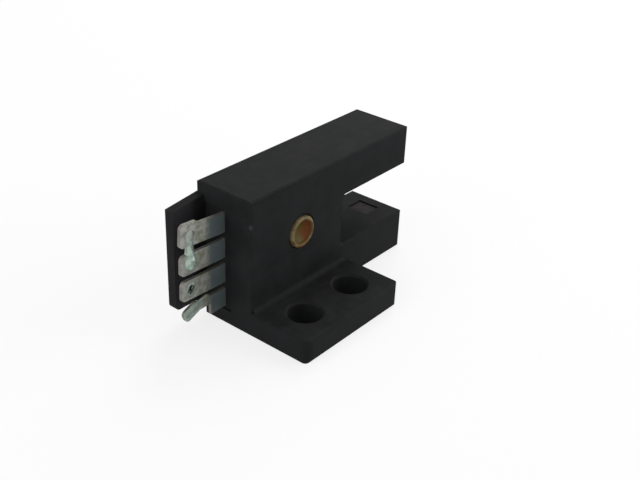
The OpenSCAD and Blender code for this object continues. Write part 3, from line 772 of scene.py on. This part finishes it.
def window_piece():
    """Turned indicator window: shoulder, stem, half-round rim and a dished face."""
    low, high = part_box("indicator_window")
    outer = (high.x - low.x) / 2
    radius = outer - SHOULDER_WIDTH
    mouth = radius - RIM_WIDTH
    face = low.y + RIM_WIDTH / 2
    back = high.y - face
    dish = (mouth ** 2 + DISH_DEPTH ** 2) / (2 * DISH_DEPTH)
    bend = math.asin(mouth / dish)
    profile = [(0.0, back), (outer, back), (outer, back - SHOULDER_DEPTH),
               (radius, back - SHOULDER_DEPTH)]
    profile += arc((radius - RIM_WIDTH / 2, 0.0), RIM_WIDTH / 2, 0.0, -math.pi, RIM_STEPS)
    floor = arc((0.0, DISH_DEPTH - dish), dish, math.pi / 2 - bend, math.pi / 2, DISH_STEPS)
    profile += list(floor)[1:]
    form = bmesh.new()
    verts = [form.verts.new((r, depth, 0.0)) for r, depth in profile]
    edges = [form.edges.new(pair) for pair in zip(verts, verts[1:])]
    bmesh.ops.spin(form, geom=verts + edges, axis=(0, 1, 0), cent=(0, 0, 0),
                   angle=2 * math.pi, steps=WINDOW_STEPS, use_merge=True)
    bmesh.ops.remove_doubles(form, verts=form.verts, dist=MERGE_DISTANCE)
    bmesh.ops.recalc_face_normals(form, faces=form.faces)
    middle = (low + high) / 2
    bmesh.ops.translate(form, verts=form.verts, vec=(middle.x, face, middle.z))
    mesh = bpy.data.meshes.new("indicator_window_form")
    form.to_mesh(mesh)
    form.free()
    mesh.shade_smooth()
    mesh.set_sharp_from_angle(angle=WINDOW_CRISP_ANGLE)
    piece = new_piece("indicator_window_piece", mesh, FINISHES["amber_resin"])
    return carried(piece, "amber_resin", "indicator_window")


def hole_centre(node):
    """Centre of a terminal's solder hole, halfway through, from the ring of points round it."""
    low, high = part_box(node)
    points = [vert.co for vert in frame["nodes"][node].data.vertices]
    span = 2 * HOLE_RADIUS
    front = [p for p in points if p.y - low.y < MERGE_DISTANCE and p.x < low.x + HOLE_SEARCH]
    ring = [p for p in front if any(
        abs(q.x - p.x) < MERGE_DISTANCE and abs(abs(q.z - p.z) - span) < RING_SLACK for q in front)]
    middle = sum(ring, Vector()) / len(ring)
    return Vector((middle.x, (low.y + high.y) / 2, middle.z))


# Geometry trees

def shape_tree(name, inputs):
    """A geometry tree whose one result is a shape."""
    nodes, given, made = node_group(name, "GeometryNodeTree", inputs, {"Shape": "shape"})
    nodes.tree.is_modifier = True
    return nodes, given, made["Shape"]


def end_tree(nodes, shape, finish, made):
    """The last nodes of every geometry tree: smooth shading, real meshes and the finish."""
    smooth = nodes.add("GeometryNodeSetShadeSmooth", {"Geometry": shape}).outputs[0]
    real = nodes.add("GeometryNodeRealizeInstances", {"Geometry": smooth}).outputs[0]
    dressed = nodes.add("GeometryNodeSetMaterial", {"Geometry": real, "Material": finish})
    nodes.feed(made, dressed.outputs[0])
    return nodes.tree


def grown_piece(name, tree, finish, values, source=None):
    """A plain piece that a geometry tree makes, on a source mesh where it needs one."""
    piece = new_piece(name, source or bpy.data.meshes.new(name + "_form"), finish)
    modifier = piece.modifiers.new(tree.name, "NODES")
    modifier.node_group = tree
    values = dict(values, Finish=finish)
    for item in tree.interface.items_tree:
        if item.in_out == "INPUT" and item.name in values:
            modifier[item.identifier] = values[item.name]
    return plain_mesh(piece)


def moved_by_noise(nodes, shape, scale, height):
    """Shifts a surface along its normals by noise that runs from minus to plus half the height."""
    place = nodes.add("GeometryNodeInputPosition").outputs[0]
    level = nodes.math("SUBTRACT", nodes.noise(place, scale, 2.0, 0.5), 0.5)
    outward = nodes.add("GeometryNodeInputNormal").outputs[0]
    shift = nodes.stretched(outward, nodes.math("MULTIPLY", level, height))
    return nodes.add("GeometryNodeSetPosition", {"Geometry": shape, "Offset": shift}).outputs[0]


def solder_link():
    """A run of solder between two holes, thick at both ends, as molten metal sets."""
    nodes, given, made = shape_tree("Solder link", {
        "Start": "vector", "End": "vector", "Start Radius": "value", "End Radius": "value",
        "Link Radius": "value", "Start Depth": "value", "End Depth": "value", "Steps": "whole",
        "Voxel": "value", "Blur": "whole", "Waver": "value", "Wave Scale": "value",
        "Scale": "value", "Finish": "finish"})
    start = nodes.stretched(given["Start"], given["Scale"])
    end = nodes.stretched(given["End"], given["Scale"])
    line = nodes.add("GeometryNodeMeshLine", {
        "Count": given["Steps"], "Start Location": start, "Offset": end},
        mode="END_POINTS").outputs[0]
    index = nodes.add("GeometryNodeInputIndex").outputs[0]
    share = nodes.math("DIVIDE", index, nodes.math("SUBTRACT", given["Steps"], 1.0))
    swell_start = nodes.step(share, *START_SWELL)
    swell_end = nodes.step(share, *END_SWELL)
    extra_start = nodes.math("SUBTRACT", given["Start Radius"], given["Link Radius"])
    extra_end = nodes.math("SUBTRACT", given["End Radius"], given["Link Radius"])
    radius = nodes.math("MULTIPLY_ADD", swell_start, extra_start, given["Link Radius"])
    radius = nodes.math("MULTIPLY_ADD", swell_end, extra_end, radius)
    radius = nodes.math("MULTIPLY", radius, given["Scale"])
    points = nodes.add("GeometryNodeMeshToPoints", {"Mesh": line, "Radius": radius}).outputs[0]
    volume = nodes.add("GeometryNodePointsToVolume", {
        "Points": points, "Voxel Size": nodes.math("MULTIPLY", given["Voxel"], given["Scale"]),
        "Radius": nodes.add("GeometryNodeInputRadius").outputs[0]},
        resolution_mode="VOXEL_SIZE").outputs[0]
    skin = nodes.add("GeometryNodeVolumeToMesh", {"Volume": volume}).outputs[0]
    place = nodes.add("GeometryNodeInputPosition").outputs[0]
    blur = nodes.add("GeometryNodeBlurAttribute", {
        "Value": place, "Iterations": given["Blur"]}, data_type="FLOAT_VECTOR").outputs[0]
    even = nodes.add("GeometryNodeSetPosition", {"Geometry": skin, "Position": blur}).outputs[0]
    wavy = moved_by_noise(nodes, even, given["Wave Scale"],
                          nodes.math("MULTIPLY", given["Waver"], given["Scale"]))
    depth = nodes.step(nodes.axis(place, "Z"), nodes.axis(start, "Z"), nodes.axis(end, "Z"),
                       given["Start Depth"], given["End Depth"])
    away = nodes.math("SUBTRACT", nodes.axis(place, "Y"), nodes.axis(start, "Y"))
    sink = nodes.math("MULTIPLY", away, nodes.math("SUBTRACT", depth, 1.0))
    flat = nodes.add(
        "GeometryNodeSetPosition", {"Geometry": wavy, "Offset": nodes.joined(Y=sink)}).outputs[0]
    back = nodes.math("DIVIDE", 1.0, given["Scale"])
    sized = nodes.add(
        "GeometryNodeTransform", {"Geometry": flat, "Scale": nodes.joined(X=back, Y=back, Z=back)})
    return end_tree(nodes, sized.outputs[0], given["Finish"], made)


def hole_rims():
    """A patchy ring of solder on both faces of a strip, round one hole."""
    nodes, given, made = shape_tree("Hole rims", {
        "Front": "vector", "Back": "vector", "Ring Radius": "value", "Bead": "value",
        "Height": "value", "Patch Scale": "value", "Steps": "whole", "Bead Steps": "whole",
        "Finish": "finish"})
    along = nodes.noise(nodes.add("GeometryNodeInputPosition").outputs[0], given["Patch Scale"])
    thick = nodes.step(along, 0.42, 0.60, 0.35, 1.0)
    ring = nodes.add("GeometryNodeCurvePrimitiveCircle", {
        "Resolution": given["Steps"], "Radius": given["Ring Radius"]}).outputs[0]
    bead = nodes.add("GeometryNodeCurvePrimitiveCircle", {
        "Resolution": given["Bead Steps"], "Radius": given["Bead"]}).outputs[0]
    tube = nodes.add("GeometryNodeCurveToMesh", {
        "Curve": ring, "Profile Curve": bead, "Scale": thick}).outputs[0]
    low = nodes.math("DIVIDE", given["Height"], given["Bead"])
    flat = nodes.add(
        "GeometryNodeTransform", {"Geometry": tube, "Scale": nodes.joined(X=1.0, Y=1.0, Z=low)})
    faces = nodes.add("GeometryNodeMeshLine", {
        "Count": 2, "Start Location": given["Front"], "Offset": given["Back"]},
        mode="END_POINTS").outputs[0]
    rings = nodes.add("GeometryNodeInstanceOnPoints", {
        "Points": faces, "Instance": flat.outputs[0], "Rotation": (math.pi / 2, 0.0, 0.0)})
    real = nodes.add("GeometryNodeRealizeInstances", {"Geometry": rings.outputs[0]}).outputs[0]
    patchy = moved_by_noise(nodes, real, nodes.math("MULTIPLY", given["Patch Scale"], 2.0),
                            nodes.math("MULTIPLY", given["Height"], 2.0))
    return end_tree(nodes, patchy, given["Finish"], made)


def flux_grains():
    """Grains scattered over the front faces of the terminals, thick near their solder holes."""
    nodes, given, made = shape_tree("Flux grains", {
        "Terminals": "shape", "Density": "value", "Grain Radius": "value", "Reach": "value",
        "Tip": "value", "Patch Scale": "value", "Seed": "whole", "Finish": "finish"})
    place = nodes.add("GeometryNodeInputPosition").outputs[0]
    front = nodes.step(nodes.axis(nodes.add("GeometryNodeInputNormal").outputs[0], "Y"), -0.8, -0.9)
    inward = nodes.math("SUBTRACT", nodes.axis(place, "X"), given["Tip"])
    near = nodes.step(inward, nodes.math("MULTIPLY", given["Reach"], 1.4), given["Reach"])
    patch = nodes.step(nodes.noise(place, given["Patch Scale"], 2.0), 0.45, 0.6)
    density = nodes.math("MULTIPLY", given["Density"], nodes.math("MULTIPLY", front, near))
    density = nodes.math("MULTIPLY", density, patch)
    spread = nodes.add("GeometryNodeDistributePointsOnFaces", {
        "Mesh": given["Terminals"], "Density": density, "Seed": given["Seed"]},
        distribute_method="RANDOM").outputs
    grain = nodes.add("GeometryNodeMeshIcoSphere", {
        "Radius": given["Grain Radius"], "Subdivisions": 2}).outputs[0]
    size = nodes.add("FunctionNodeRandomValue", {
        "Min": GRAIN_LEAST, "Max": GRAIN_MOST, "Seed": given["Seed"]},
        data_type="FLOAT_VECTOR").outputs[0]
    grains = nodes.add("GeometryNodeInstanceOnPoints", {
        "Points": spread["Points"], "Instance": grain, "Rotation": spread["Rotation"],
        "Scale": size}).outputs[0]
    return end_tree(nodes, grains, given["Finish"], made)


def solder_pieces():
    """Solder that links the two upper terminals, and the coat on the lowest one's worn end."""
    tree = solder_link()
    even = {"Steps": SOLDER_STEPS, "Voxel": SOLDER_VOXEL, "Blur": SOLDER_BLUR,
            "Waver": SOLDER_WAVER, "Wave Scale": WAVE_SCALE, "Scale": VOLUME_SCALE}
    link = grown_piece("solder_bridge_piece", tree, FINISHES["solder"], dict(
        even, **{"Start": hole_centre("terminal_2"), "End": hole_centre("terminal_1"),
                 "Start Radius": BEAD_RADIUS, "End Radius": HEAD_RADIUS,
                 "Link Radius": LINK_RADIUS, "Start Depth": BEAD_DEPTH, "End Depth": HEAD_DEPTH}))
    carried(link, "solder", "solder_bridge")
    coat = grown_piece("worn_end_solder", tree, FINISHES["solder"], dict(
        even, **{"Start": COAT_TIP, "End": COAT_ROOT, "Start Radius": COAT_RADIUS,
                 "End Radius": NECK_RADIUS, "Link Radius": NECK_RADIUS,
                 "Start Depth": COAT_DEPTH, "End Depth": NECK_DEPTH}))
    carried(coat, "solder")


def rims_piece():
    """Old solder round the third terminal's open hole."""
    low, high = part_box("terminal_3")
    centre = hole_centre("terminal_3")
    piece = grown_piece("hole_rims", hole_rims(), FINISHES["solder"], {
        "Front": Vector((centre.x, low.y, centre.z)), "Back": Vector((centre.x, high.y, centre.z)),
        "Ring Radius": RING_RADIUS, "Bead": RING_BEAD, "Height": RING_HEIGHT,
        "Patch Scale": RING_PATCHES, "Steps": RING_STEPS, "Bead Steps": BEAD_STEPS})
    return carried(piece, "solder")


def grains_piece():
    """Dried flux on the fronts of the three upper terminals."""
    form = bmesh.new()
    for name in TERMINALS[:3]:
        form.from_mesh(frame["nodes"][name].data)
    bmesh.ops.remove_doubles(form, verts=form.verts, dist=MERGE_DISTANCE)
    source = bpy.data.meshes.new("flux_grains_form")
    form.to_mesh(source)
    form.free()
    piece = grown_piece("flux_grains", flux_grains(), FLUX, {
        "Density": GRAIN_DENSITY, "Grain Radius": GRAIN_RADIUS, "Reach": GRAIN_REACH,
        "Tip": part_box("terminal_1")[0].x, "Patch Scale": GRAIN_PATCHES, "Seed": GRAIN_SEED},
        source)
    return carried(piece, "solder")


# Stage, light and camera

def seen_directly(nodes):
    """1 for the rays that see the backdrop: from the camera, off gloss or through glass."""
    path = nodes.add("ShaderNodeLightPath").outputs
    seen = nodes.math("MAXIMUM", path["Is Camera Ray"], path["Is Glossy Ray"])
    return nodes.math("MAXIMUM", seen, path["Is Transmission Ray"])


def make_floor():
    mesh = bpy.data.meshes.new("floor")
    corners = [(x * FLOOR_HALF, y * FLOOR_HALF, -FLOOR_GAP) for x, y in
               ((-1, -1), (1, -1), (1, 1), (-1, 1))]
    mesh.from_pydata(corners, [], [(0, 1, 2, 3)])
    floor = bpy.data.objects.new("floor", mesh)
    bpy.context.scene.collection.objects.link(floor)
    material = bpy.data.materials.new("Pale floor")
    material.use_nodes = True
    material.node_tree.nodes.clear()
    nodes = Nodes(material.node_tree)
    matt = nodes.add("ShaderNodeBsdfDiffuse", {"Color": FLOOR_COLOR}).outputs[0]
    glow = nodes.add("ShaderNodeEmission", {"Strength": WHITE}).outputs[0]
    away = nodes.length(nodes.place())
    plain = nodes.step(away, FLOOR_NEAR, FLOOR_FAR, 1 - FLOOR_SHARE, 1.0)
    share = nodes.math("MULTIPLY", seen_directly(nodes), plain)
    mixed = nodes.add("ShaderNodeMixShader", {0: share, 1: matt, 2: glow}).outputs[0]
    nodes.add("ShaderNodeOutputMaterial", {"Surface": mixed})
    mesh.materials.append(material)


def make_world():
    world = bpy.data.worlds.new("Studio")
    bpy.context.scene.world = world
    world.use_nodes = True
    world.node_tree.nodes.clear()
    nodes = Nodes(world.node_tree)
    seen = seen_directly(nodes)
    level = nodes.math("ADD", nodes.math("MULTIPLY", seen, WHITE - AMBIENT), AMBIENT)
    sky = nodes.add("ShaderNodeBackground", {"Color": (1, 1, 1, 1), "Strength": level}).outputs[0]
    nodes.add("ShaderNodeOutputWorld", {"Surface": sky})


def soft_lamp(name, place, aim, side, power):
    """Square soft box that looks from its place to its aim."""
    lamp = bpy.data.lights.new(name, "AREA")
    lamp.size = side
    lamp.energy = power
    box = bpy.data.objects.new(name, lamp)
    box.location = place
    box.rotation_euler = (aim - place).to_track_quat("-Z", "Y").to_euler()
    bpy.context.scene.collection.objects.link(box)


def make_lamps():
    aim = (cad_box[0] + cad_box[1]) / 2
    for name, (place, side, power) in LAMPS.items():
        soft_lamp(name, place, aim, side, power)


def make_camera():
    data = bpy.data.cameras.new("Camera")
    data.lens = CAMERA_LENS
    data.clip_start = CAMERA_NEAR
    camera = bpy.data.objects.new("Camera", data)
    camera.location = CAMERA_PLACE
    camera.rotation_mode = "QUATERNION"
    roll = Quaternion((0, 0, 1), math.radians(CAMERA_ROLL))
    camera.rotation_quaternion = CAMERA_LOOK.to_track_quat("-Z", "Y") @ roll
    bpy.context.scene.collection.objects.link(camera)
    bpy.context.scene.camera = camera


dress_nodes()
for name in MOULDED_NODES:
    softened_piece(name, MOULDED_EDGE, MOULDED_SLIVER)
for name in TERMINALS:
    softened_piece(name, PUNCHED_EDGE, PUNCHED_SLIVER)
window_piece()
solder_pieces()
rims_piece()
grains_piece()
make_floor()
make_world()
make_lamps()
make_camera()
bpy.context.scene.view_settings.view_transform = "Standard"
